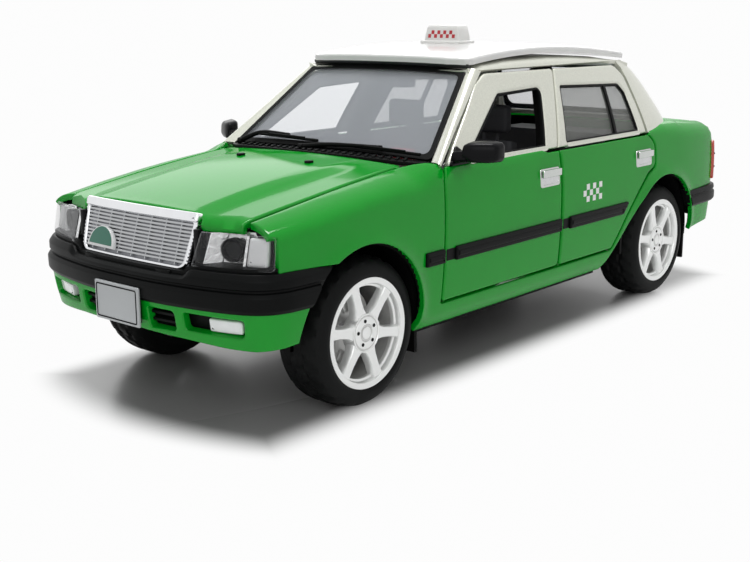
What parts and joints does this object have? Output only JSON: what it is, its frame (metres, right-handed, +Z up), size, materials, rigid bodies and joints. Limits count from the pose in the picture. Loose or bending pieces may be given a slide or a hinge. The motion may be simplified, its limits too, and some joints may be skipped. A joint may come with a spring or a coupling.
{
  "type": "toy taxi",
  "caption": "Die-cast toy saloon taxi with hinged doors, bonnet and boot lid, separate roof panel and lamp, trimmed cabin and free-rolling wheels on through axles",
  "frame": {"origin": "middle of the car's length and width, on the ground under the tyres", "axes": "+X forward, +Y to the car's left, +Z up"},
  "size_m": [0.1972, 0.0848, 0.0738],
  "materials": {
    "paint_green": "gloss",
    "roof_white": "gloss",
    "sign_white": "gloss",
    "clear_glass": "clear",
    "black_trim": "satin",
    "chassis_black": "matte",
    "bright_trim": "polished",
    "lamp_silver": "bright",
    "lamp_white": "gloss",
    "lamp_red": "clear red",
    "badge_green": "gloss",
    "plate_silver": "satin",
    "interior_grey": "matte",
    "dash_dark": "matte",
    "meter_red": "gloss",
    "engine_grey": "satin",
    "steel": "satin",
    "rim_silver": "metallic silver",
    "tyre_black": "matte"
  },
  "bodies": {
    "car": {"body_shell": "paint_green", "roof_panel": "roof_white", "roof_sign": "sign_white", "windscreen": "clear_glass", "rear_window": "clear_glass", "front_bumper": "black_trim", "front_valance": "paint_green", "grille": "bright_trim", "grille_badge": "badge_green", "front_number_plate": "plate_silver", "headlamp_housings": "lamp_silver", "headlamp_lenses": "clear_glass", "fog_lamps": "lamp_white", "tail_lamps": "lamp_red", "rear_bumper": "black_trim", "cowl_panel": "black_trim", "wipers": "black_trim", "body_strips": "black_trim", "mud_flaps": "black_trim", "chassis": "chassis_black", "chassis_screws": "steel", "interior_tub": "interior_grey", "front_seats": "interior_grey", "rear_seat": "interior_grey", "dashboard": "dash_dark", "steering_wheel": "dash_dark", "fare_meter": "meter_red", "cabin_mirror": "black_trim", "engine_insert": "engine_grey"},
    "bonnet": {"bonnet": "paint_green"},
    "boot": {"boot_lid": "paint_green", "rear_number_plate": "plate_silver"},
    "door_front_left": {"door_fl": "paint_green", "card_fl": "interior_grey", "handle_fl": "bright_trim", "strip_fl": "black_trim", "mirror_fl": "black_trim"},
    "door_front_right": {"door_fr": "paint_green", "card_fr": "interior_grey", "handle_fr": "bright_trim", "strip_fr": "black_trim", "mirror_fr": "black_trim"},
    "door_rear_left": {"door_rl": "paint_green", "card_rl": "interior_grey", "handle_rl": "bright_trim", "strip_rl": "black_trim", "glass_rl": "clear_glass"},
    "door_rear_right": {"door_rr": "paint_green", "card_rr": "interior_grey", "handle_rr": "bright_trim", "strip_rr": "black_trim", "glass_rr": "clear_glass"},
    "wheels_front": {"front_axle": "steel", "front_rims": "rim_silver", "front_tyres": "tyre_black", "front_brake_discs": "steel"},
    "wheels_rear": {"rear_axle": "steel", "rear_rims": "rim_silver", "rear_tyres": "tyre_black", "rear_brake_discs": "steel"}
  },
  "joints": [
    {"name": "bonnet_hinge", "type": "hinge", "parent": "car", "child": "bonnet", "pos_m": [0.0454, 0, 0.04565], "axis": [0, -1, 0], "range_deg": [0, 50]},
    {"name": "boot_hinge", "type": "hinge", "parent": "car", "child": "boot", "pos_m": [-0.0733, 0, 0.0463], "axis": [0, 1, 0], "range_deg": [0, 60]},
    {"name": "front_left_door_hinge", "type": "hinge", "parent": "car", "child": "door_front_left", "pos_m": [0.0384, 0.0332, 0.03], "axis": [0, 0, -1], "range_deg": [0, 65]},
    {"name": "front_right_door_hinge", "type": "hinge", "parent": "car", "child": "door_front_right", "pos_m": [0.0384, -0.0332, 0.03], "axis": [0, 0, 1], "range_deg": [0, 65]},
    {"name": "rear_left_door_hinge", "type": "hinge", "parent": "car", "child": "door_rear_left", "pos_m": [-0.0075, 0.0332, 0.03], "axis": [0, 0, -1], "range_deg": [0, 65]},
    {"name": "rear_right_door_hinge", "type": "hinge", "parent": "car", "child": "door_rear_right", "pos_m": [-0.0075, -0.0332, 0.03], "axis": [0, 0, 1], "range_deg": [0, 65]},
    {"name": "front_axle_turn", "type": "hinge", "parent": "car", "child": "wheels_front", "pos_m": [0.0632, 0, 0.0154], "axis": [0, 1, 0], "continuous": true},
    {"name": "rear_axle_turn", "type": "hinge", "parent": "car", "child": "wheels_rear", "pos_m": [-0.0594, 0, 0.0154], "axis": [0, 1, 0], "continuous": true}
  ]
}
